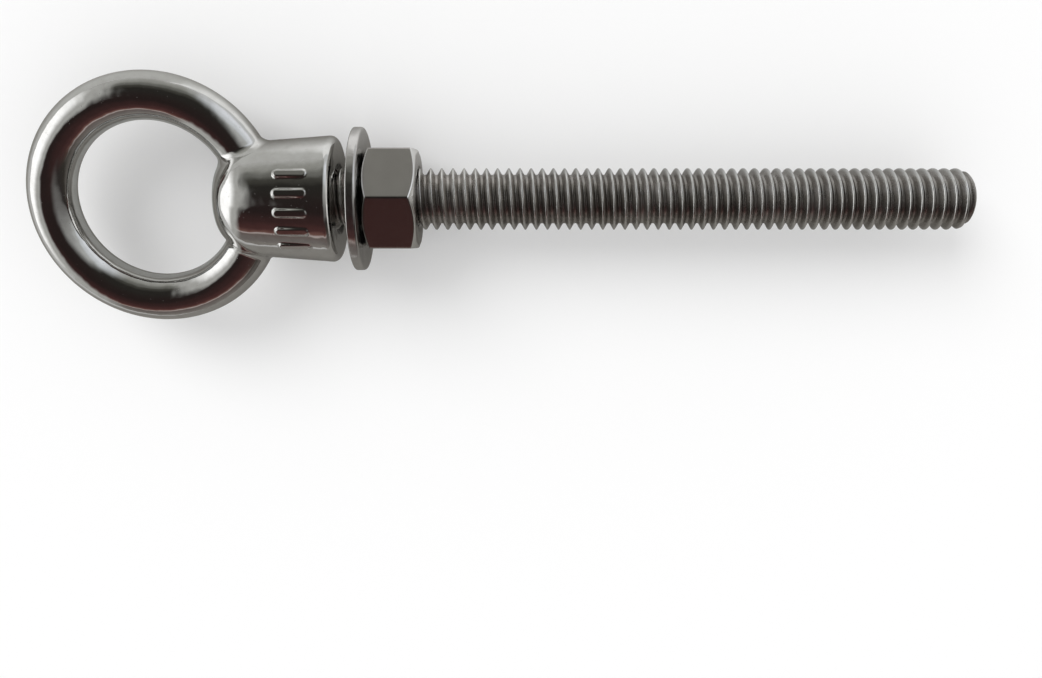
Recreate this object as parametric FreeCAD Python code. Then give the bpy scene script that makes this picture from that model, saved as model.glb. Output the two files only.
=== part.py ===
import FreeCAD, Part
import math
import os

# Eye bolt: a forged ring eye with a threaded stud, a flat washer and a hexagon nut.
# Row frame, in millimetres: +X runs along the stud from the eye to its tip, the ring lies flat in
# the XY plane, +Z is up, and the origin is the centre of the boss's flat bearing face.

# Thread: 5/16 inch, 18 turns to the inch, right-handed, 60 degree flanks
PITCH = 25.4 / 18
HALF_ANGLE = math.radians(30)
STUD_CREST_R = 3.87
STUD_PITCH_R = 3.39
STUD_ROOT_R = 3.05
NUT_CREST_R = 3.27
NUT_PITCH_R = 3.68
NUT_ROOT_R = 4.05
TAP_MARGIN = 0.05

# Stud
STUD_EXPOSED = 80.0
STUD_ENGAGED = 11.0
TIP_ROUND = 2.2
INNER_CHAMFER = 0.8

# Ring
RING_R = 13.0
TUBE_R = 3.0
RING_X = -23.4

# Boss
BOSS_FACE_R = 8.0
BOSS_RING_R = 7.1
BOSS_EDGE_ROUND = 1.0
BOSS_RING_X = -12.0
DOME_OUTLINE = [(-15.7, 0.0), (-15.55, 2.6), (-15.05, 4.7), (-13.9, 6.2), (-12.2, 6.95)]
TAPER_FROM_X = -10.0
TAPER_TO_X = -2.0
JOIN_ROUND = 0.8
TAPPED_DEPTH = 12.0
SOCKET_DEPTH = 12.2
SOCKET_POINT_X = -13.8
SOCKET_MOUTH_R = 4.5

# Raised tally bars on the side of the boss that faces +Z
BAR_COUNT = 5
BAR_STEP_DEG = 18.0
BAR_LENGTH = 4.0
BAR_WIDTH = 0.95
BAR_HEIGHT = 0.3
BAR_X = -4.8

# Washer
WASHER_OUTER_R = 9.0
WASHER_INNER_R = 4.4
WASHER_THICKNESS = 1.25
WASHER_EDGE_ROUND = 0.25
WASHER_X = 2.05

# Nut
NUT_FLATS = 12.4
NUT_THICKNESS = 6.75
NUT_FACE_R = 5.75
NUT_CHAMFER_DEG = 30.0
NUT_MOUTH_R = 4.2
NUT_GAP = 0.1
NUT_X = WASHER_X + WASHER_THICKNESS + NUT_GAP
NUT_CORNER_FROM_UP_DEG = 14.4

EXTRA = 1.0


def vec(x, y, z):
    return FreeCAD.Vector(x, y, z)


def polar(radius, angle):
    """A point on the plane across the thread, whose axis is +Z while it is being made."""
    return vec(radius * math.cos(angle), radius * math.sin(angle), 0)


def arc(radius, start, end):
    middle = (start + end) / 2
    return Part.Arc(polar(radius, start), polar(radius, middle), polar(radius, end)).toShape()


def flank(start_r, start, end_r, end):
    """A thread flank cut across its axis: a spiral, because the flank is straight along the axis."""
    steps = 8
    points = []
    for i in range(steps + 1):
        share = i / steps
        points.append(polar(start_r + (end_r - start_r) * share, start + (end - start) * share))
    curve = Part.BSplineCurve()
    curve.interpolate(points)
    return curve.toShape()


def thread_section(outer_r, pitch_r, inner_r, at):
    """The closed outline of a thread cut across its axis at a distance along it."""
    slope = math.tan(HALF_ANGLE)
    half_outer = PITCH / 4 - (outer_r - pitch_r) * slope
    half_inner = PITCH / 4 - (pitch_r - inner_r) * slope
    per_mm = 2 * math.pi / PITCH
    turned = at * per_mm
    a = half_outer * per_mm
    b = math.pi - half_inner * per_mm
    edges = [
        arc(outer_r, turned - a, turned + a),
        flank(outer_r, turned + a, inner_r, turned + b),
        arc(inner_r, turned + b, turned + 2 * math.pi - b),
        flank(inner_r, turned + 2 * math.pi - b, outer_r, turned + 2 * math.pi - a),
    ]
    return Part.Wire(edges)


def threaded_rod(outer_r, pitch_r, inner_r, start, length):
    """A solid helical thread along +X. Every thread made here keeps one phase, so all of them mesh."""
    section = thread_section(outer_r, pitch_r, inner_r, start)
    helix = Part.makeLongHelix(PITCH, length, outer_r, 0, False)
    sweep = Part.BRepOffsetAPI.MakePipeShell(Part.Wire(helix.Edges))
    sweep.setFrenetMode(True)
    sweep.add(section, False, False)
    sweep.build()
    faces = sweep.shape().Faces + [Part.Face(section), Part.Face(sweep.lastShape())]
    rod = Part.makeSolid(Part.makeShell(faces))
    rod.rotate(vec(0, 0, 0), vec(0, 1, 0), 90)
    rod.translate(vec(start, 0, 0))
    return rod


def turned(points):
    """A solid of revolution about the X axis from (x, radius) points."""
    outline = Part.makePolygon([vec(x, r, 0) for x, r in points + [points[0]]])
    return Part.Face(outline).revolve(vec(0, 0, 0), vec(1, 0, 0), 360)


def tube(outer_r, inner_r, start, length):
    along = vec(1, 0, 0)
    outer = Part.makeCylinder(outer_r, length, vec(start, 0, 0), along)
    return outer.cut(Part.makeCylinder(inner_r, length + 2 * EXTRA, vec(start - EXTRA, 0, 0), along))


def circles_at(shape, x, least_r):
    """The full circles of a shape that lie in the plane across X at x and are at least least_r wide."""
    found = []
    for edge in shape.Edges:
        box = edge.BoundBox
        flat = abs(box.XMin - x) < 1e-4 and abs(box.XMax - x) < 1e-4
        if flat and box.YLength / 2 > least_r:
            found.append(edge)
    return found


def taper_r(x):
    """The radius of the boss's tapered side."""
    return BOSS_FACE_R + (BOSS_RING_R - BOSS_FACE_R) * x / BOSS_RING_X


def boss_blank():
    """The tapered boss with its rounded bearing edge and its domed end inside the ring."""
    stations = DOME_OUTLINE + [(x, taper_r(x)) for x in (TAPER_FROM_X, TAPER_TO_X)]
    points = [vec(x, r, 0) for x, r in stations]
    side = Part.BSplineCurve()
    tapering = vec(-BOSS_RING_X, BOSS_FACE_R - BOSS_RING_R, 0)
    side.interpolate(Points=points, InitialTangent=vec(0, 1, 0), FinalTangent=tapering)
    rim = vec(0, BOSS_FACE_R, 0)
    outline = [
        side.toShape(),
        Part.LineSegment(points[-1], rim).toShape(),
        Part.LineSegment(rim, vec(0, 0, 0)).toShape(),
        Part.LineSegment(vec(0, 0, 0), points[0]).toShape(),
    ]
    blank = Part.Face(Part.Wire(outline)).revolve(vec(0, 0, 0), vec(1, 0, 0), 360)
    blank.rotate(vec(0, 0, 0), vec(1, 0, 0), -90)
    return blank.makeFillet(BOSS_EDGE_ROUND, circles_at(blank, 0, 1))


def shared_edges(body, first, second):
    """The edges of a fused body where the skins of the two solids it was made from cross."""
    shared = []
    for edge in body.Edges:
        span = edge.LastParameter - edge.FirstParameter
        gaps = [0]
        for share in (0.23, 0.5, 0.77):
            point = Part.Vertex(edge.valueAt(edge.FirstParameter + span * share))
            gaps.append(point.distToShape(first.Shells[0])[0])
            gaps.append(point.distToShape(second.Shells[0])[0])
        if max(gaps) < 1e-3 and not edge.Degenerated:
            shared.append(edge)
    return shared


def tally_bar(angle_deg):
    """A raised bar with round ends, standing on the boss at an angle round it from +Z."""
    half = (BAR_LENGTH - BAR_WIDTH) / 2
    top = taper_r(BAR_X) + BAR_HEIGHT
    low = top - 4 * BAR_HEIGHT
    up = vec(0, 0, 1)
    box_corner = vec(BAR_X - half, -BAR_WIDTH / 2, low)
    bar = Part.makeBox(2 * half, BAR_WIDTH, top - low, box_corner)
    for side in (-half, half):
        bar = bar.fuse(Part.makeCylinder(BAR_WIDTH / 2, top - low, vec(BAR_X + side, 0, low), up))
    bar = bar.removeSplitter()
    bar.rotate(vec(0, 0, 0), vec(1, 0, 0), angle_deg)
    return bar


def countersink(x, outwards, mouth_r):
    """A 45 degree cone to cut from a face across X at x, opening outwards (+1 or -1) to mouth_r."""
    inside = x - outwards * mouth_r
    outside = x + outwards * EXTRA
    return turned([(inside, 0), (outside, mouth_r + EXTRA), (outside, 0)])


def socket_bore():
    """The blind hole for the stud before it is tapped: countersunk mouth, bore and drill point."""
    bore_r = NUT_CREST_R - TAP_MARGIN
    mouth_x = bore_r - SOCKET_MOUTH_R
    return turned([(EXTRA, 0), (EXTRA, SOCKET_MOUTH_R + EXTRA), (mouth_x, bore_r), (-SOCKET_DEPTH, bore_r),
                   (SOCKET_POINT_X, 0)])


def make_eye():
    ring = Part.makeTorus(RING_R, TUBE_R, vec(RING_X, 0, 0), vec(0, 0, 1))
    boss = boss_blank()
    body = ring.fuse(boss)
    body = body.makeFillet(JOIN_ROUND, shared_edges(body, ring, boss)).Solids[0]
    bars = [tally_bar((i - (BAR_COUNT - 1) / 2) * BAR_STEP_DEG) for i in range(BAR_COUNT)]
    body = body.cut(socket_bore())
    body = body.cut(threaded_rod(NUT_ROOT_R, NUT_PITCH_R, NUT_CREST_R, -TAPPED_DEPTH, TAPPED_DEPTH + EXTRA))
    return body.fuse(bars)


def make_stud():
    length = STUD_ENGAGED + STUD_EXPOSED
    start = -STUD_ENGAGED
    rod = threaded_rod(STUD_CREST_R, STUD_PITCH_R, STUD_ROOT_R, start - EXTRA, length + 2 * EXTRA)
    blank = Part.makeCylinder(STUD_CREST_R + EXTRA, length, vec(start, 0, 0), vec(1, 0, 0))
    blank = blank.makeFillet(TIP_ROUND + EXTRA, circles_at(blank, STUD_EXPOSED, 1))
    blank = blank.makeChamfer(INNER_CHAMFER + EXTRA, circles_at(blank, start, 1))
    return rod.common(blank)


def make_washer():
    washer = tube(WASHER_OUTER_R, WASHER_INNER_R, WASHER_X, WASHER_THICKNESS)
    rims = circles_at(washer, WASHER_X, WASHER_INNER_R + EXTRA)
    rims += circles_at(washer, WASHER_X + WASHER_THICKNESS, WASHER_INNER_R + EXTRA)
    return washer.makeFillet(WASHER_EDGE_ROUND, rims)


def make_nut():
    corner_r = NUT_FLATS / 2 / math.cos(math.radians(30))
    corners = []
    for i in range(7):
        angle = math.radians(60 * i + NUT_CORNER_FROM_UP_DEG)
        corners.append(vec(NUT_X, corner_r * math.sin(angle), corner_r * math.cos(angle)))
    blank = Part.Face(Part.makePolygon(corners)).extrude(vec(NUT_THICKNESS, 0, 0))
    rise = (corner_r + EXTRA - NUT_FACE_R) * math.tan(math.radians(NUT_CHAMFER_DEG))
    end = NUT_X + NUT_THICKNESS
    wide = corner_r + EXTRA
    lathe = [
        (NUT_X, 0),
        (NUT_X, NUT_FACE_R),
        (NUT_X + rise, wide),
        (end - rise, wide),
        (end, NUT_FACE_R),
        (end, 0),
    ]
    nut = blank.common(turned(lathe))
    length = NUT_THICKNESS + 2 * EXTRA
    nut = nut.cut(threaded_rod(NUT_ROOT_R, NUT_PITCH_R, NUT_CREST_R, NUT_X - EXTRA, length))
    nut = nut.cut(countersink(NUT_X, -1, NUT_MOUTH_R))
    return nut.cut(countersink(end, 1, NUT_MOUTH_R))


shapes = {"eye": make_eye(), "stud": make_stud(), "washer": make_washer(), "nut": make_nut()}
os.makedirs("parts", exist_ok=True)
for name, shape in shapes.items():
    shape.Solids[0].exportStep("parts/" + name + ".step")
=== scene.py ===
import bpy
import math
import numpy as np
from mathutils import Matrix, Vector


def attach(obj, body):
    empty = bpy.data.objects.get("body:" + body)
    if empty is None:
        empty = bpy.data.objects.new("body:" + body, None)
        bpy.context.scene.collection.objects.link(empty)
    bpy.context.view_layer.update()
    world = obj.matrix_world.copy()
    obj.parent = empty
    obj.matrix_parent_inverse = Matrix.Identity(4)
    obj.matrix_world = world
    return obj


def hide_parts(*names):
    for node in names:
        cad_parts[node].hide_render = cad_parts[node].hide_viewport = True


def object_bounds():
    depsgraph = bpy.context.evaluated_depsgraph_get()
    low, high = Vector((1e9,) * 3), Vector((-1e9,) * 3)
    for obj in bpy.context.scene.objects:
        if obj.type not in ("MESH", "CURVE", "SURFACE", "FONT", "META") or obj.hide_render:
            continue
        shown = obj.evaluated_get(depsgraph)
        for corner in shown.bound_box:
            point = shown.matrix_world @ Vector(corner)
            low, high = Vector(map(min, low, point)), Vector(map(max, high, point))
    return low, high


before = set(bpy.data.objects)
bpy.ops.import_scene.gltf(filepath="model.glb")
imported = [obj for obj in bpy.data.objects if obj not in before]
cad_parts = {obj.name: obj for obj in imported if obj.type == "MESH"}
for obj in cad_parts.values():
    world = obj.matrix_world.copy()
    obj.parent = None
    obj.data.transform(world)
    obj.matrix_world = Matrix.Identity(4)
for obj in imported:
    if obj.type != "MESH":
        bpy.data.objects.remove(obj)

cad_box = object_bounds()
MM = 0.001

# ---------------------------------------------------------------- sizes, in millimetres

# Thread, 18 turns to the inch with 60 degree flanks
PITCH = 25.4 / 18
FLANK_TAN = math.tan(math.radians(30))
STUD_CREST_R, STUD_PITCH_R, STUD_ROOT_R = 3.87, 3.39, 3.05
NUT_CREST_R, NUT_PITCH_R, NUT_ROOT_R = 3.27, 3.68, 4.05
CREST_SOFTNESS, ROOT_SOFTNESS = 0.07, 0.12

STUD_START, STUD_END, TIP_ROUND, INNER_CHAMFER = -11.0, 80.0, 2.2, 0.8
RING_R, TUBE_R, RING_X = 13.0, 3.0, -23.4

BOSS_FACE_R, BOSS_RING_R, BOSS_RING_X, BOSS_EDGE_ROUND = 8.0, 7.1, -12.0, 1.0
TAPER_COS = 0.998
SHOULDER_X, SHOULDER_LEAN, SHOULDER_ROUND = -11.45, math.radians(16), 0.4
DOME_X, DOME_R, DOME_ROUND = -15.7, 13.4, 2.2
JOIN_ROUND = 0.8
SOCKET_R, SOCKET_DEPTH, SOCKET_MOUTH_R, SOCKET_EDGE_ROUND = 4.0, 12.2, 4.5, 0.12

BAR_COUNT, BAR_STEP_DEG, BAR_X = 5, 18.0, -4.8
BAR_STRAIGHT_HALF, BAR_HALF_WIDTH, BAR_HALF_HEIGHT = 1.53, 0.47, 0.86
BAR_SUNK, BAR_EDGE_ROUND, BAR_FOOT_ROUND = 0.6, 0.2, 0.22

WASHER_X, WASHER_T, WASHER_OUTER_R, WASHER_INNER_R = 2.05, 1.25, 9.0, 4.4
WASHER_EDGES = [0.16, 0.22, 0.42, 0.2]
NUT_X, NUT_T, NUT_FLATS, NUT_FACE_R, NUT_MOUTH_R = 3.4, 6.75, 12.4, 5.75, 4.2
NUT_CORNER_DEG = 14.4
CHAMFER_TAN = math.tan(math.radians(30))
# A higher power gives the hexagon sharper corners
HEXAGON_POWER = 110
# The nut's outline where its face turns into the chamfer, as (x from the face, r past the face),
# and where the chamfer turns into the flats, as (x past the chamfer's foot, r past the flats)
FACE_FLAT_TO = -0.12
FACE_BEVEL = ((0.012, -0.06), (0.045, 0.0), (0.09, 0.07))
RIM_BEVEL = ((-0.14, -0.18), (-0.07, -0.0945), (-0.01, -0.0315), (0.06, -0.0072), (0.14, 0.0))

# How finely the meshes are cut
EYE_CELL = 0.16
EYE_LOW, EYE_HIGH = (-40.2, -16.7, -8.3), (0.6, 16.7, 8.5)
STUD_SIDES, WASHER_SIDES, WASHER_STEP = 80, 240, 0.35
MERGE_PER_MM = 2e4

# ---------------------------------------------------------------- mesh helpers


def add_mesh(name, points, faces, normals=None):
    """A mesh object from points in millimetres, with its own vertex normals where known."""
    mesh = bpy.data.meshes.new(name)
    faces = faces.tolist() if hasattr(faces, "tolist") else faces
    mesh.from_pydata((points * MM).tolist(), [], faces)
    mesh.validate(clean_customdata=False)
    mesh.shade_smooth()
    if normals is not None:
        mesh.normals_split_custom_set_from_vertices(normals.tolist())
    obj = bpy.data.objects.new(name, mesh)
    bpy.context.scene.collection.objects.link(obj)
    return obj


def grid_faces(rows, columns, wrap_rows, wrap_columns):
    """Quads over a grid of points that is stored row by row."""
    r = np.arange(rows if wrap_rows else rows - 1)
    c = np.arange(columns if wrap_columns else columns - 1)
    r, c = np.meshgrid(r, c, indexing="ij")
    r2, c2 = (r + 1) % rows, (c + 1) % columns
    quads = np.stack([r * columns + c, r * columns + c2, r2 * columns + c2, r2 * columns + c], -1)
    return quads.reshape(-1, 4)


def drop_thin(points, faces):
    """Merges points that fall on each other and drops the faces that are left with no area."""
    keys = np.round(points * MERGE_PER_MM).astype(np.int64)
    _, first, back = np.unique(keys, axis=0, return_index=True, return_inverse=True)
    back = back.reshape(-1)
    kept = []
    for face in back[faces].tolist():
        loop = [v for i, v in enumerate(face) if v != face[i - 1]]
        if len(set(loop)) == len(loop) and len(loop) > 2:
            kept.append(loop)
    return points[first], kept


# ---------------------------------------------------------------- the forged eye


def round_and(a, b, r):
    """Where both hold, with a convex edge rounded to r."""
    return np.minimum(-r, np.maximum(a, b)) + np.hypot(np.maximum(a + r, 0), np.maximum(b + r, 0))


def round_or(a, b, r):
    """Where either holds, with the inside corner filled to r."""
    return -round_and(-a, -b, r)


def taper_r(x):
    return BOSS_FACE_R + (BOSS_RING_R - BOSS_FACE_R) * x / BOSS_RING_X


BARS = [math.radians(BAR_STEP_DEG * (i - (BAR_COUNT - 1) / 2)) for i in range(BAR_COUNT)]


def bar_field(x, y, z, angle):
    """A raised bar with round ends on the side of the boss."""
    across = y * math.cos(angle) + z * math.sin(angle)
    out = -y * math.sin(angle) + z * math.cos(angle)
    along = np.maximum(np.abs(x - BAR_X) - BAR_STRAIGHT_HALF, 0)
    flat = np.hypot(along, across) - BAR_HALF_WIDTH
    thick = np.abs(out - taper_r(BAR_X) + BAR_SUNK) - BAR_HALF_HEIGHT
    return round_and(flat, thick, BAR_EDGE_ROUND)


def eye_field(p):
    """Less than 0 inside the ring, boss and bars, and more than 0 outside and in the socket."""
    x, y, z = p[..., 0], p[..., 1], p[..., 2]
    rho = np.hypot(y, z)
    ring = np.hypot(np.hypot(x - RING_X, y) - RING_R, z) - TUBE_R
    side = (rho - taper_r(x)) * TAPER_COS
    shoulder = rho - taper_r(SHOULDER_X) - (x - SHOULDER_X) * math.tan(SHOULDER_LEAN)
    shoulder = shoulder * math.cos(SHOULDER_LEAN)
    dome = np.hypot(x - (DOME_X + DOME_R), rho) - DOME_R
    boss = round_and(round_and(side, shoulder, SHOULDER_ROUND), dome, DOME_ROUND)
    boss = round_and(boss, x, BOSS_EDGE_ROUND)
    body = round_or(ring, boss, JOIN_ROUND)
    marks = np.minimum.reduce([bar_field(x, y, z, angle) for angle in BARS])
    body = round_or(body, marks, BAR_FOOT_ROUND)
    bore = np.maximum(rho - SOCKET_R, -x - SOCKET_DEPTH)
    mouth = (rho - SOCKET_MOUTH_R - x) * math.sqrt(0.5)
    return round_and(body, -np.minimum(bore, mouth), SOCKET_EDGE_ROUND)


def gradient(field, p, step=2e-3):
    g = np.empty_like(p)
    for k in range(3):
        d = np.zeros(3)
        d[k] = step
        g[:, k] = (field(p + d) - field(p - d)) / (2 * step)
    return g


CELL_CORNERS = [(i, j, k) for i in (0, 1) for j in (0, 1) for k in (0, 1)]


def sample(field, axes):
    """The field at every point of a grid, worked out one plane at a time to save memory."""
    values = np.empty([len(a) for a in axes], np.float32)
    for i, x in enumerate(axes[0]):
        plane = np.stack(np.meshgrid([x], axes[1], axes[2], indexing="ij"), -1)
        values[i] = field(plane)[0]
    return values


def crossed_cells(inside):
    """The cells that the surface runs through, and a grid that holds each one's number."""
    cells_each_way = [n - 1 for n in inside.shape]
    count = np.zeros(cells_each_way, np.int8)
    for corner in CELL_CORNERS:
        count += inside[tuple(slice(c, n + c) for c, n in zip(corner, cells_each_way))]
    cells = np.argwhere((count > 0) & (count < len(CELL_CORNERS)))
    number = np.full(count.shape, -1, np.int32)
    number[tuple(cells.T)] = np.arange(len(cells))
    return cells, number


def points_in_cells(values, cells):
    """One point for each cell, counted in cells: the mean of where its edges are crossed."""
    total, hits = np.zeros((len(cells), 3)), np.zeros(len(cells))
    edges = [(corner, k) for corner in CELL_CORNERS for k in range(3) if not corner[k]]
    for start, k in edges:
        end = list(start)
        end[k] = 1
        from_value = values[tuple((cells + start).T)].astype(float)
        to_value = values[tuple((cells + end).T)].astype(float)
        cross = (from_value < 0) != (to_value < 0)
        share = np.where(cross, from_value / np.where(cross, from_value - to_value, 1), 0)
        point = np.tile(np.array(start, float), (len(cells), 1))
        point[:, k] = share
        total[cross] += point[cross]
        hits += cross
    return cells + total / hits[:, None]


def quads_over_edges(inside, number):
    """One quad for each grid edge that is crossed, through the points of the cells round it."""
    quads = []
    for k in range(3):
        u, v = (k + 1) % 3, (k + 2) % 3
        ahead, behind = [slice(None)] * 3, [slice(None)] * 3
        ahead[k], behind[k] = slice(1, None), slice(None, -1)
        change = np.argwhere(inside[tuple(behind)] != inside[tuple(ahead)])
        starts_inside = inside[tuple(change.T)]
        ring = []
        for du, dv in ((0, 0), (-1, 0), (-1, -1), (0, -1)):
            at = change.copy()
            at[:, u] += du
            at[:, v] += dv
            ring.append(number[tuple(at.T)])
        ring = np.stack(ring, -1)
        ring[~starts_inside] = ring[~starts_inside][:, ::-1]
        quads.append(ring)
    return np.concatenate(quads)


def even_out(points, quads):
    """Moves each point half way to the middle of its neighbours."""
    edges = np.concatenate([quads[:, [i, (i + 1) % 4]] for i in range(4)])
    mean, degree = np.zeros_like(points), np.zeros(len(points))
    np.add.at(mean, edges[:, 0], points[edges[:, 1]])
    np.add.at(degree, edges[:, 0], 1)
    return points + 0.5 * (mean / degree[:, None] - points)


def settle(field, points, steps=2):
    """Moves the points along the field's gradient onto its surface."""
    for _ in range(steps):
        g = gradient(field, points)
        length = np.maximum((g * g).sum(1), 0.25)
        points = points - g * (field(points) / length)[:, None]
    return points


def surface_of(field, low, high, cell, rounds=3):
    """A closed quad mesh of a distance field's surface, with every point moved onto it."""
    axes = [np.arange(a, b + cell, cell) for a, b in zip(low, high)]
    values = sample(field, axes)
    inside = values < 0
    cells, number = crossed_cells(inside)
    points = points_in_cells(values, cells) * cell + np.array([a[0] for a in axes])
    quads = quads_over_edges(inside, number)
    points = settle(field, points)
    for _ in range(rounds):
        points = settle(field, even_out(points, quads))
    normals = gradient(field, points)
    normals /= np.linalg.norm(normals, axis=1)[:, None]
    return points, quads, normals


# ---------------------------------------------------------------- threads and turned parts


def soft_min(a, b, r):
    h = np.maximum(r - np.abs(a - b), 0) / r
    return np.minimum(a, b) - h * h * r / 4


def soft_max(a, b, r):
    return -soft_min(-a, -b, r)


def thread_radius(x, turn, outer_r, pitch_r, inner_r):
    """The thread's radius at x and at an angle round +X, its crests and roots slightly rounded."""
    s = x - PITCH * (turn / (2 * math.pi) + 0.25)
    s = np.abs((s + PITCH / 2) % PITCH - PITCH / 2)
    flank = pitch_r - (s - PITCH / 4) / FLANK_TAN
    ridge = soft_min(flank, np.full_like(flank, outer_r), CREST_SOFTNESS)
    return soft_max(ridge, np.full_like(flank, inner_r), ROOT_SOFTNESS)


# Where the rows of a thread's grid lie across one ridge, closest where it bends
HALF_RIDGE = [0.0, 0.05, 0.085, 0.12, 0.19, 0.28, 0.37, 0.46, 0.53, 0.575, 0.63]
RIDGE = np.array([-v for v in HALF_RIDGE[:0:-1]] + HALF_RIDGE + [PITCH / 2])


def helix_grid(start, end, turns, radius):
    """A grid that follows the thread: rows run along it, and the wrap from the last turn angle
    back to the first steps on by one pitch. Rows are cut off square at start and end."""
    first = math.floor((start - 2 * PITCH) / PITCH)
    last = math.ceil((end + 2 * PITCH) / PITCH)
    rows = (np.arange(first, last)[:, None] * PITCH + RIDGE).reshape(-1)
    x = rows[:, None] + PITCH * (turns[None, :] / (2 * math.pi) + 0.25)
    x = np.clip(x, start, end)
    t = np.broadcast_to(turns, x.shape)
    r = radius(x, t)
    points = np.stack([x, r * np.cos(t), r * np.sin(t)], -1).reshape(-1, 3)
    n, m, step = len(rows), len(turns), len(RIDGE)
    i, j = np.meshgrid(np.arange(n - 1 - step), np.arange(m), indexing="ij")
    i2 = np.where(j == m - 1, i + step, i)
    j2 = (j + 1) % m
    quads = np.stack([i * m + j, i2 * m + j2, (i2 + 1) * m + j2, (i + 1) * m + j], -1)
    return points, quads.reshape(-1, 4)


def lathe_grid(x, r, turns):
    """Rows of a turned outline: x and r are plain numbers or hold a value for each turn angle."""
    points = []
    for xs, rs in zip(x, r):
        xs, rs = np.broadcast_to(xs, turns.shape), np.broadcast_to(rs, turns.shape)
        points.append(np.stack([xs, rs * np.cos(turns), rs * np.sin(turns)], -1))
    return np.concatenate(points)


def joined(*parts):
    points, faces, first = [], [], 0
    for p, f in parts:
        points.append(p)
        faces.append(f + first)
        first += len(p)
    return np.concatenate(points), np.concatenate(faces)


def rounded_path(corners, radii, steps=5):
    """An outline through corners, each replaced by a curve that starts radius away from it."""
    path = []
    for k, (corner, radius) in enumerate(zip(corners, radii)):
        corner = np.array(corner, float)
        before = np.array(corners[k - 1], float)
        after = np.array(corners[(k + 1) % len(corners)], float)
        a = corner + (before - corner) / np.linalg.norm(before - corner) * radius
        b = corner + (after - corner) / np.linalg.norm(after - corner) * radius
        for i in range(steps + 1):
            t = i / steps
            path.append((1 - t) ** 2 * a + 2 * t * (1 - t) * corner + t * t * b)
    return np.array(path)


# ---------------------------------------------------------------- the four pieces


def build_eye():
    points, quads, normals = surface_of(eye_field, EYE_LOW, EYE_HIGH, EYE_CELL)
    return add_mesh("eye_forged", points, quads, normals)


def build_stud():
    turns = np.arange(STUD_SIDES) * 2 * math.pi / STUD_SIDES

    def radius(x, t):
        r = thread_radius(x, t, STUD_CREST_R, STUD_PITCH_R, STUD_ROOT_R)
        into_tip = np.clip(x - (STUD_END - TIP_ROUND), 0, TIP_ROUND)
        tip = STUD_CREST_R - TIP_ROUND + np.sqrt(TIP_ROUND**2 - into_tip**2)
        inner = STUD_CREST_R - INNER_CHAMFER + (x - STUD_START)
        return np.minimum(r, np.minimum(tip, inner))

    side = helix_grid(STUD_START, STUD_END, turns, radius)
    caps = []
    ends = ((STUD_END, TIP_ROUND, False), (STUD_START, INNER_CHAMFER, True))
    for x, cut, turn_over in ends:
        r = STUD_CREST_R - cut
        rs = [r, r * 0.93, r * 0.8, r * 0.6, r * 0.4, r * 0.2, 0.0]
        faces = grid_faces(len(rs), len(turns), False, True)
        caps.append((lathe_grid([x] * len(rs), rs, turns), faces[:, ::-1] if turn_over else faces))
    points, faces = drop_thin(*joined(side, *caps))
    return add_mesh("stud_thread", points, faces)


def build_washer():
    turns = np.arange(WASHER_SIDES) * 2 * math.pi / WASHER_SIDES
    x0, x1 = WASHER_X, WASHER_X + WASHER_T
    inner, outer = WASHER_INNER_R, WASHER_OUTER_R
    path = rounded_path([(x0, inner), (x0, outer), (x1, outer), (x1, inner)], WASHER_EDGES)
    fill = []
    for a, b in zip(path, np.roll(path, -1, axis=0)):
        n = max(1, int(np.linalg.norm(b - a) / WASHER_STEP))
        fill += [a + (b - a) * i / n for i in range(n)]
    path = np.array(fill)
    points = lathe_grid(path[:, 0], path[:, 1], turns)
    faces = grid_faces(len(path), len(turns), True, True)[:, ::-1]
    return add_mesh("washer_flat", points, faces)


def nut_turns():
    """The nut's columns, in radians: from the middle of one flat to the next, closer together
    round the corner between them, and so on for all six."""
    one_side = [np.arange(0, 25, 2.5), np.arange(25, 35.1, 0.625), np.arange(37.5, 60, 2.5)]
    one_side = np.concatenate(one_side)
    turns = np.concatenate([one_side + 60 * k for k in range(6)]) + 60.0 - NUT_CORNER_DEG
    return np.radians(turns)


def hexagon_radius(turns):
    """How far the flats stand from the axis at each angle, with the corners slightly rounded."""
    power_sum = np.zeros_like(turns)
    for k in range(6):
        off = turns - math.radians(60 * k + 60 - NUT_CORNER_DEG)
        power_sum += np.maximum(np.cos(off), 0) ** HEXAGON_POWER
    return NUT_FLATS / 2 / power_sum ** (1 / HEXAGON_POWER)


def nut_outline(hexagon):
    """Rows of (x from the face, r) from one mouth over the flats to the other mouth."""
    half = [(0.0, r) for r in np.linspace(NUT_MOUTH_R, NUT_FACE_R + FACE_FLAT_TO, 7)]
    half += [(x, NUT_FACE_R + dr) for x, dr in FACE_BEVEL]
    foot = (hexagon - NUT_FACE_R) * CHAMFER_TAN
    first, last = FACE_BEVEL[-1][0], foot + RIM_BEVEL[0][0]
    for share in (0.3, 0.5, 0.7, 0.85):
        x = first + (last - first) * share
        half.append((x, NUT_FACE_R + x / CHAMFER_TAN))
    half += [(foot + dx, hexagon + dr) for dx, dr in RIM_BEVEL]
    low, high = half[-1][0], NUT_T - half[-1][0]
    flats = [(low + (high - low) * share, hexagon) for share in (0.2, 0.35, 0.5, 0.65, 0.8)]
    return half + flats + [(NUT_T - x, r) for x, r in half[::-1]]


def build_nut():
    turns = nut_turns()
    outline = nut_outline(hexagon_radius(turns))
    end = NUT_X + NUT_T

    def bore(x, t):
        r = thread_radius(x, t, NUT_ROOT_R, NUT_PITCH_R, NUT_CREST_R)
        return np.maximum(r, NUT_MOUTH_R - np.minimum(x - NUT_X, end - x))

    rows = lathe_grid([NUT_X + x for x, _ in outline], [r for _, r in outline], turns)
    shell = (rows, grid_faces(len(outline), len(turns), False, True))
    thread = helix_grid(NUT_X, end, turns, bore)
    points, faces = drop_thin(*joined(shell, (thread[0], thread[1][:, ::-1])))
    return add_mesh("nut_hex", points, faces)


eye = build_eye()
stud = build_stud()
washer = build_washer()
nut = build_nut()

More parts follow.
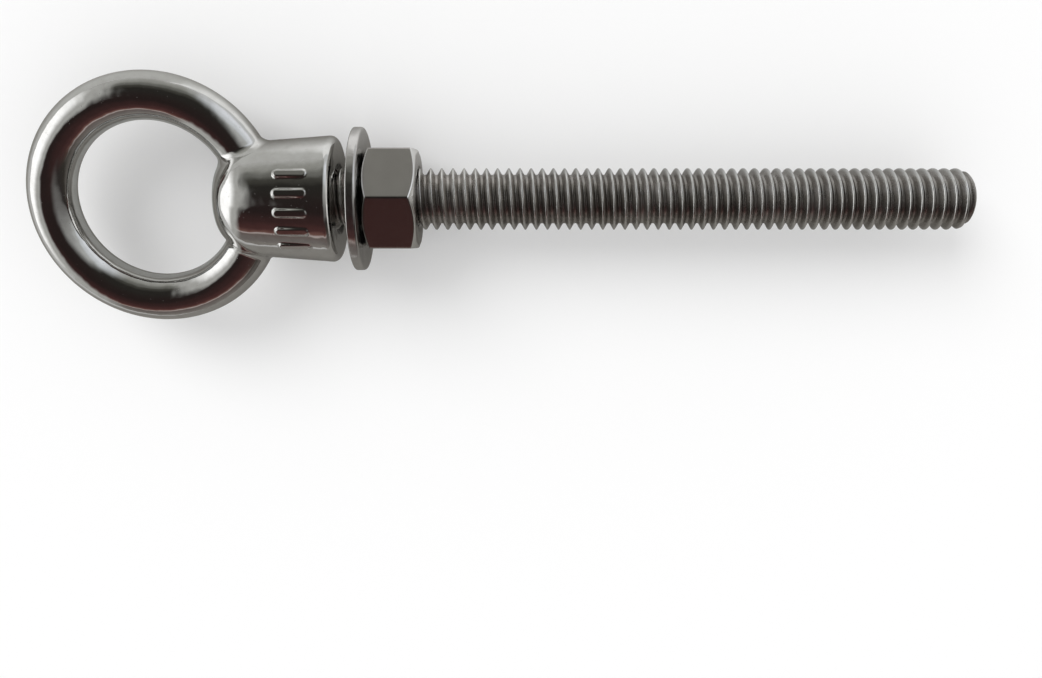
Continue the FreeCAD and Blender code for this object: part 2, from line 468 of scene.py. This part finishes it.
for piece, node, body, slot in (
    (eye, "eye", "bolt", "polished_steel"),
    (stud, "stud", "bolt", "thread_steel"),
    (washer, "washer", "washer", "washer_steel"),
    (nut, "nut", "nut", "nut_steel"),
):
    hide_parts(node)
    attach(piece, body)

# ---------------------------------------------------------------- materials


class Nodes:
    """Short ways to add and join shader nodes."""

    def __init__(self, tree):
        self.tree = tree

    def add(self, kind, **inputs):
        """A node. in0, in1 and so on are its numbered sockets, and _name sets a property."""
        node = self.tree.nodes.new("ShaderNode" + kind)
        for name, value in inputs.items():
            if name.startswith("_"):
                setattr(node, name[1:], value)
                continue
            numbered = name.startswith("in") and name[2:].isdigit()
            socket = node.inputs[int(name[2:]) if numbered else name]
            if isinstance(value, bpy.types.NodeSocket):
                self.tree.links.new(value, socket)
            else:
                socket.default_value = value
        return node

    def math(self, operation, a, b=0.0, c=0.0):
        return self.add("Math", in0=a, in1=b, in2=c, _operation=operation).outputs[0]

    def hypot(self, a, b):
        squares = self.math("ADD", self.math("MULTIPLY", a, a), self.math("MULTIPLY", b, b))
        return self.math("SQRT", squares)

    def vmath(self, operation, a, b):
        node = self.add("VectorMath", in0=a, in1=b, _operation=operation)
        return node.outputs["Value" if operation == "DOT_PRODUCT" else "Vector"]

    def span(self, value, low, high, to_low=0.0, to_high=1.0, smooth=True):
        """to_low where value is low, to_high where it is high, and a ramp between."""
        kind = "SMOOTHSTEP" if smooth else "LINEAR"
        return self.add("MapRange", in0=value, in1=low, in2=high, in3=to_low, in4=to_high,
                        _interpolation_type=kind).outputs[0]

    def noise(self, where, scale, detail=3.0, rough=0.5):
        return self.add("TexNoise", Vector=where, Scale=scale, Detail=detail,
                        Roughness=rough).outputs[0]

    def mix(self, share, a, b):
        """Between two colours, each a socket or (red, green, blue)."""
        a, b = [(*v, 1) if isinstance(v, tuple) else v for v in (a, b)]
        return self.add("MixRGB", in0=share, in1=a, in2=b).outputs[0]

    def where(self):
        return self.add("TexCoord").outputs["Object"]

    def bumps(self, *layers):
        """Bumps laid one over another, each (height, distance in metres)."""
        normal = None
        for height, distance in layers:
            below = {"Normal": normal} if normal is not None else {}
            bump = self.add("Bump", Height=height, Strength=1.0, Distance=distance, **below)
            normal = bump.outputs[0]
        return normal

    def plug(self, shader, colour, rough, normal):
        for name, value in (("Base Color", colour), ("Roughness", rough), ("Normal", normal)):
            self.tree.links.new(value, shader.inputs[name])


def new_material(name):
    material = bpy.data.materials.new(name)
    material.use_nodes = True
    n = Nodes(material.node_tree)
    shader = material.node_tree.nodes["Principled BSDF"]
    shader.inputs["Metallic"].default_value = 1.0
    return material, n, shader


def polished_steel():
    """The eye: mirror polish over a slightly wavy forging, with fine scratches and a few pits."""
    material, n, shader = new_material("polished_steel")
    where = n.where()
    broad = n.noise(where, 260.0, 2.0)
    cloud = n.noise(where, 900.0, 4.0, 0.6)
    lines = n.noise(n.vmath("MULTIPLY", where, (700.0, 9000.0, 9000.0)), 1.0, 3.0, 0.6)
    pits = n.add("TexVoronoi", Vector=where, Scale=1500.0, Randomness=1.0).outputs["Distance"]
    pit = n.span(pits, 0.0, 0.10, 1.0, 0.0)
    dull = n.span(cloud, 0.35, 0.75, 0.035, 0.065)
    scratch = n.span(lines, 0.58, 0.8, 0.0, 0.06)
    tint = n.mix(n.span(cloud, 0.3, 0.8), (0.70, 0.70, 0.69), (0.63, 0.625, 0.61))
    tint = n.mix(n.math("MULTIPLY", pit, 0.5), tint, (0.25, 0.22, 0.20))
    normal = n.bumps((broad, 0.00010), (cloud, 0.000002), (lines, 0.0000012),
                     (n.math("MULTIPLY", pit, -1.0), 0.00001))
    n.plug(shader, tint, n.math("ADD", dull, scratch), normal)
    return material


def thread_steel():
    """The stud: rolled crests in bright steel, and rougher roots painted darker as shade in the
    grooves.
    """
    material, n, shader = new_material("thread_steel")
    where = n.where()
    axes = n.add("SeparateXYZ", Vector=where)
    r = n.hypot(axes.outputs[1], axes.outputs[2])
    grain = n.noise(where, 1400.0, 4.0, 0.6)
    patch = n.noise(where, 220.0, 3.0, 0.55)
    rolled = n.noise(n.vmath("MULTIPLY", where, (9000.0, 900.0, 900.0)), 1.0, 3.0, 0.6)
    ragged = n.math("MULTIPLY", n.math("SUBTRACT", grain, 0.5), 0.00018)
    crest = n.span(n.math("ADD", r, ragged), 3.45 * MM, 3.85 * MM)
    # The roots are painted darker than the crests, as shade in the thread's grooves, in random
    # patches.
    painted_root_shade = n.mix(n.span(patch, 0.35, 0.7), (0.34, 0.32, 0.30), (0.48, 0.46, 0.44))
    tint = n.mix(crest, painted_root_shade, (0.70, 0.695, 0.68))
    rough = n.span(crest, 0.0, 1.0, 0.24, 0.11, False)
    rough = n.math("ADD", rough, n.math("MULTIPLY", patch, 0.06))
    n.plug(shader, tint, rough, n.bumps((rolled, 0.000010), (grain, 0.000016)))
    return material


def washer_steel():
    """The washer: stamped and tumbled, with a fine grain and small dents."""
    material, n, shader = new_material("washer_steel")
    where = n.where()
    broad = n.noise(where, 380.0, 2.0)
    grain = n.noise(where, 3200.0, 4.0, 0.65)
    dents = n.add("TexVoronoi", Vector=where, Scale=900.0, Randomness=1.0).outputs["Distance"]
    dent = n.span(dents, 0.0, 0.35, -1.0, 0.0)
    tint = n.mix(n.span(broad, 0.3, 0.7), (0.66, 0.65, 0.64), (0.54, 0.53, 0.52))
    normal = n.bumps((broad, 0.00009), (dent, 0.000006), (grain, 0.000002))
    n.plug(shader, tint, n.span(grain, 0.3, 0.75, 0.09, 0.20), normal)
    return material


def nut_steel():
    """The nut: satin flats, and faces and chamfers with the rings of a turning tool and a painted
    highlight.
    """
    material, n, shader = new_material("nut_steel")
    where = n.where()
    axes = n.add("SeparateXYZ", Vector=where)
    x = axes.outputs[0]
    r = n.hypot(axes.outputs[1], axes.outputs[2])
    from_middle = n.math("ABSOLUTE", n.math("SUBTRACT", x, (NUT_X + NUT_T / 2) * MM))
    chamfer_from = (NUT_T / 2 + NUT_FACE_R * CHAMFER_TAN - 0.04) * MM
    chamfer_from = n.math("ADD", n.math("MULTIPLY", r, -CHAMFER_TAN), chamfer_from)
    turned = n.span(n.math("SUBTRACT", from_middle, chamfer_from), 0.0, 0.00004)
    satin = n.noise(where, 5200.0, 4.0, 0.7)
    cloud = n.noise(where, 500.0, 3.0, 0.5)
    across, along = n.math("MULTIPLY", r, 16000.0), n.math("MULTIPLY", x, 16000.0)
    rings = n.noise(n.add("CombineXYZ", in0=across, in1=along).outputs[0], 1.0, 2.0, 0.5)
    flat_rough = n.span(satin, 0.25, 0.75, 0.10, 0.17)
    rough = n.add("Mix", in0=turned, in2=flat_rough, in3=0.12).outputs[0]
    # The turned faces and chamfers get a near-white tint: a painted highlight over their real
    # turned finish.
    tint = n.mix(turned, n.mix(cloud, (0.46, 0.445, 0.43), (0.39, 0.375, 0.36)), (0.93, 0.93, 0.92))
    grain = n.math("MULTIPLY", satin, n.math("SUBTRACT", 1.0, turned))
    groove = n.math("MULTIPLY", rings, turned)
    normal = n.bumps((grain, 0.000003), (groove, 0.000006), (cloud, 0.00001))
    n.plug(shader, tint, rough, normal)
    return material


steels = (polished_steel(), thread_steel(), washer_steel(), nut_steel())
for piece, material in zip((eye, stud, washer, nut), steels):
    piece.data.materials.append(material)

# ---------------------------------------------------------------- floor, light and camera

# The camera looks along -BACK, and the image's own up and right are UP and RIGHT
CAMERA_TILT = math.radians(20.5)
BACK = Vector((0, math.sin(CAMERA_TILT), math.cos(CAMERA_TILT)))
UP = Vector((0, math.cos(CAMERA_TILT), -math.sin(CAMERA_TILT)))
RIGHT = Vector((1, 0, 0))
# Places and sizes in millimetres
CAMERA_AT = Vector((23.02, 29.19, 128.85))
LENS, SENSOR_WIDTH = 35.5854, 36.0
FLOOR_HALF, FLOOR_GAP = 3000.0, 0.02
SUN_FROM = Vector((-0.45, 0.62, 0.64))
# What the camera and soft light see; polished steel sees the floor and room made below
CAMERA_FLOOR, CAMERA_ROOM = (0.92, 0.92, 0.92), (0.84, 0.84, 0.84)


def make_floor():
    """A large matt floor just under the part. Polished steel sees it in patches of painted shadow
    and
    light of its own: dim beside the ring and under the part, brighter behind the boss, nut and
    stud."""
    low = cad_box[0][2] - FLOOR_GAP * MM
    half = FLOOR_HALF * MM
    mesh = bpy.data.meshes.new("floor")
    corners = [(-half, -half, low), (half, -half, low), (half, half, low), (-half, half, low)]
    mesh.from_pydata(corners, [], [(0, 1, 2, 3)])
    floor = bpy.data.objects.new("floor", mesh)
    bpy.context.scene.collection.objects.link(floor)
    material, n, shader = new_material("floor_white")
    shader.inputs["Metallic"].default_value = 0.0
    glossy = n.add("LightPath").outputs["Is Glossy Ray"]
    axes = n.add("SeparateXYZ", Vector=n.where())
    x, y = axes.outputs[0], axes.outputs[1]
    # Painted shadow on the floor next to the part, seen only in the steel's reflections, with a
    # lighter painted patch inside the ring.
    painted_near_shadow = n.mix(n.span(x, -0.045, -0.090), (0.25, 0.24, 0.22), (0.55, 0.55, 0.54))
    from_hole = n.hypot(n.math("SUBTRACT", x, RING_X * MM), y)
    painted_near_shadow = n.mix(n.span(from_hole, 0.011, 0.006), painted_near_shadow, (0.48, 0.48, 0.46))
    # Painted light on the floor further off: brightest behind the boss and nut, dimmer beside the
    # ring and along the far stud.
    painted_far_light = n.mix(n.span(x, -0.020, -0.004), (0.52, 0.52, 0.50), (0.90, 0.90, 0.89))
    painted_far_light = n.mix(n.span(x, 0.014, 0.026), painted_far_light, (0.60, 0.61, 0.61))
    y = n.math("ADD", y, n.span(x, -0.004, 0.012, 0.0, 0.012))
    mirrored = n.mix(n.span(y, 0.006, 0.030), painted_near_shadow, painted_far_light)
    n.tree.links.new(n.mix(glossy, CAMERA_FLOOR, mirrored), shader.inputs["Base Color"])
    shader.inputs["Roughness"].default_value = 0.85
    mesh.materials.append(material)


# The room as polished steel sees it: (height in degrees, red, green, blue)
MIDDLE_GLOW = [
    (-180, 0.30, 0.29, 0.28), (-112, 0.26, 0.24, 0.22), (-96, 0.18, 0.16, 0.15),
    (-85, 0.16, 0.13, 0.12), (-81, 0.50, 0.43, 0.41), (-77, 0.17, 0.085, 0.072),
    (-68, 0.075, 0.032, 0.030), (-50, 0.045, 0.022, 0.021), (-28, 0.024, 0.016, 0.015),
    (16, 0.026, 0.024, 0.021), (28, 0.060, 0.058, 0.050), (40, 0.17, 0.17, 0.155),
    (56, 0.36, 0.36, 0.335), (70, 0.52, 0.52, 0.50), (84, 0.55, 0.55, 0.53),
    (180, 0.60, 0.60, 0.58),
]
RIGHT_GLOW = [
    (-180, 0.18, 0.17, 0.16), (-100, 0.12, 0.11, 0.10), (-76, 0.04, 0.035, 0.03),
    (-58, 0.035, 0.03, 0.028), (-40, 0.16, 0.155, 0.15), (-8, 0.34, 0.34, 0.33),
    (14, 0.50, 0.51, 0.50), (32, 0.72, 0.75, 0.78), (54, 0.90, 0.93, 0.98),
    (84, 0.75, 0.76, 0.78), (180, 0.60, 0.60, 0.58),
]
LEFT_GREY, LEFT_WHITE = (0.48, 0.48, 0.46), (1.5, 1.5, 1.5)


def direction_ramp(n, height, stops):
    """The glow by height, in degrees: 0 is towards the camera and 90 towards image top."""
    ramp = n.add("ValToRGB", Fac=n.span(height, -180.0, 180.0, 0.0, 1.0, False))
    ramp.color_ramp.interpolation = "EASE"
    elements = ramp.color_ramp.elements
    while len(elements) < len(stops):
        elements.new(0.5)
    for element, stop in zip(elements, stops):
        element.position = (stop[0] + 180) / 360
    # The colours go on last, because a stop that moves can change its place in the list
    for element, stop in zip(elements, stops):
        element.color = (*stop[1:], 1)
    return ramp.outputs[0]


def make_world():
    """A studio room: dark and slightly warm in the middle, where whoever holds the camera would
    be, with a thin bright band low down, pale walls to the left and a window to the right. It is
    an even pale grey to the camera and to soft light."""
    world = bpy.data.worlds.new("studio")
    world.use_nodes = True
    bpy.context.scene.world = world
    n = Nodes(world.node_tree)
    towards = n.add("TexCoord").outputs["Generated"]
    b = n.vmath("DOT_PRODUCT", towards, BACK)
    u = n.vmath("DOT_PRODUCT", towards, UP)
    r = n.vmath("DOT_PRODUCT", towards, RIGHT)
    uneven = n.math("SUBTRACT", n.noise(towards, 2.3, 1.0), 0.5)
    across = n.math("SUBTRACT", n.noise(n.vmath("ADD", towards, (5.0, 3.0, 1.0)), 1.9, 0.0), 0.5)
    height = n.math("MULTIPLY", n.math("ARCTAN2", u, b), 180 / math.pi)
    height = n.math("MULTIPLY_ADD", uneven, 9.0, height)
    aside = n.math("MULTIPLY", n.math("ARCSINE", r), 180 / math.pi)
    aside = n.math("MULTIPLY_ADD", across, 10.0, aside)
    middle = direction_ramp(n, height, MIDDLE_GLOW)
    right = direction_ramp(n, height, RIGHT_GLOW)
    left_shift = n.span(height, -18.0, -40.0, 0.0, 10.0)
    from_left = n.math("ADD", aside, left_shift)
    colour = n.mix(n.span(aside, 8.0, 36.0), middle, right)
    colour = n.mix(n.span(from_left, -24.0, -36.0), colour, LEFT_GREY)
    colour = n.mix(n.span(from_left, -40.0, -62.0), colour, LEFT_WHITE)
    glossy = n.add("LightPath").outputs["Is Glossy Ray"]
    colour = n.mix(glossy, CAMERA_ROOM, colour)
    n.tree.links.new(colour, n.tree.nodes["Background"].inputs["Color"])
    n.tree.nodes["Background"].inputs["Strength"].default_value = 1.0


def make_light():
    sun = bpy.data.lights.new("soft_key", "SUN")
    sun.energy = 1.3
    sun.angle = math.radians(36)
    lamp = bpy.data.objects.new("soft_key", sun)
    lamp.visible_glossy = False
    lamp.rotation_euler = SUN_FROM.to_track_quat("Z", "Y").to_euler()
    bpy.context.scene.collection.objects.link(lamp)


def make_camera():
    camera = bpy.data.cameras.new("camera")
    camera.sensor_width = SENSOR_WIDTH
    camera.lens = LENS
    camera.clip_start = 0.005
    obj = bpy.data.objects.new("camera", camera)
    turn = Matrix((RIGHT, UP, BACK)).transposed().to_4x4()
    obj.matrix_world = Matrix.Translation(CAMERA_AT * MM) @ turn
    bpy.context.scene.collection.objects.link(obj)
    bpy.context.scene.camera = obj


make_floor()
make_world()
make_light()
make_camera()
bpy.context.scene.view_settings.view_transform = "Standard"
